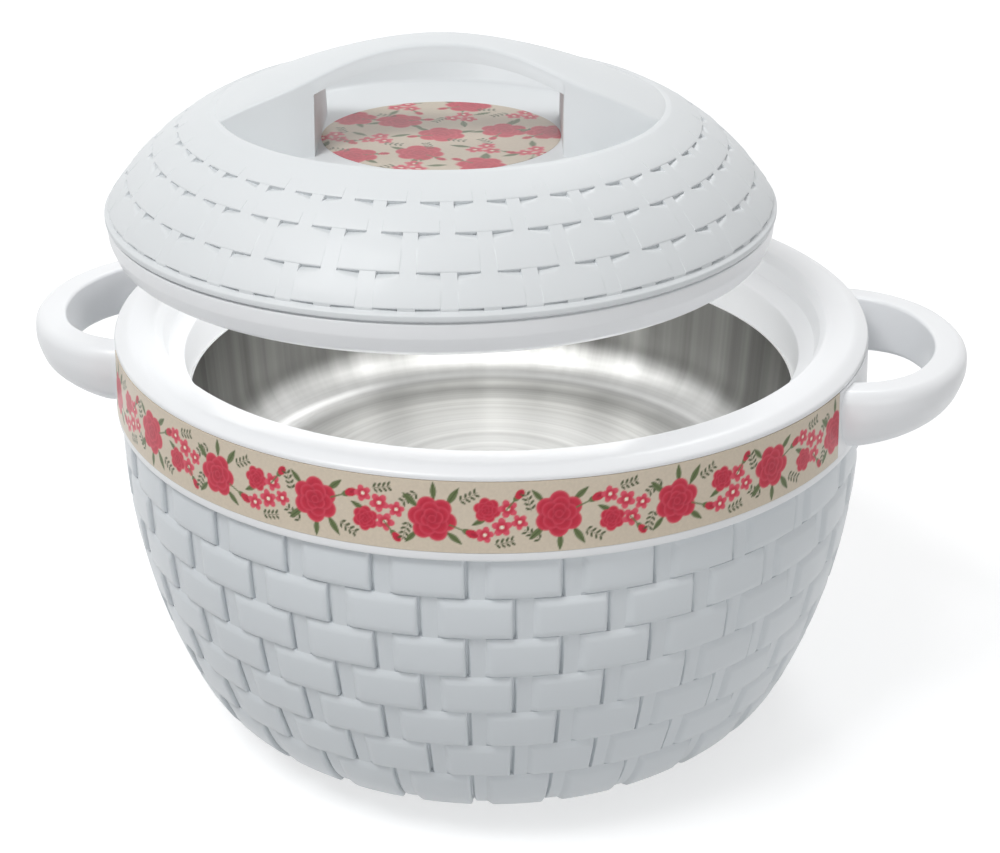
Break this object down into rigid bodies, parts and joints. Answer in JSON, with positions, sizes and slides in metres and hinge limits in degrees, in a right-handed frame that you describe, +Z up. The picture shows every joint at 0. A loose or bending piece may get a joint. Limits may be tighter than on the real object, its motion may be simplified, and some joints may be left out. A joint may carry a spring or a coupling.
{
  "type": "insulated food pot",
  "caption": "Round insulated serving pot with a basket-weave casing, printed rim band, two loop handles, steel inner bowl and a domed lift-off lid with a bridge handle, shown raised.",
  "frame": {"origin": "on the table under the pot's own axis, at the foot ring's lower face", "axes": "+Z up along the pot's axis, the two loop handles along X, the front of the lid's bridge handle towards -Y"},
  "size_m": [0.379, 0.304, 0.2833],
  "materials": {
    "casing_plastic": "moulded, satin gloss",
    "white_plastic": "moulded, gloss",
    "printed_band": "cream film with a printed flower pattern",
    "stainless_steel": "drawn and lightly brushed",
    "foam": "rigid foam, hidden"
  },
  "bodies": {
    "pot": {"outer_shell": "casing_plastic", "base_cover": "casing_plastic", "rim_collar": "white_plastic", "pattern_band_front": "printed_band", "pattern_band_back": "printed_band", "steel_liner": "stainless_steel", "foam_fill": "foam", "handle_right": "white_plastic", "handle_left": "white_plastic"},
    "lid": {"lid_shell": "white_plastic", "lid_ring": "white_plastic", "lid_disc": "printed_band", "lid_plate": "stainless_steel", "lid_foam": "foam"}
  },
  "joints": [
    {"name": "lid_lift", "type": "slide", "parent": "pot", "child": "lid", "axis": [-0.401, -0.0501, 0.9147], "range_m": [-0.0478, 0.12]}
  ]
}
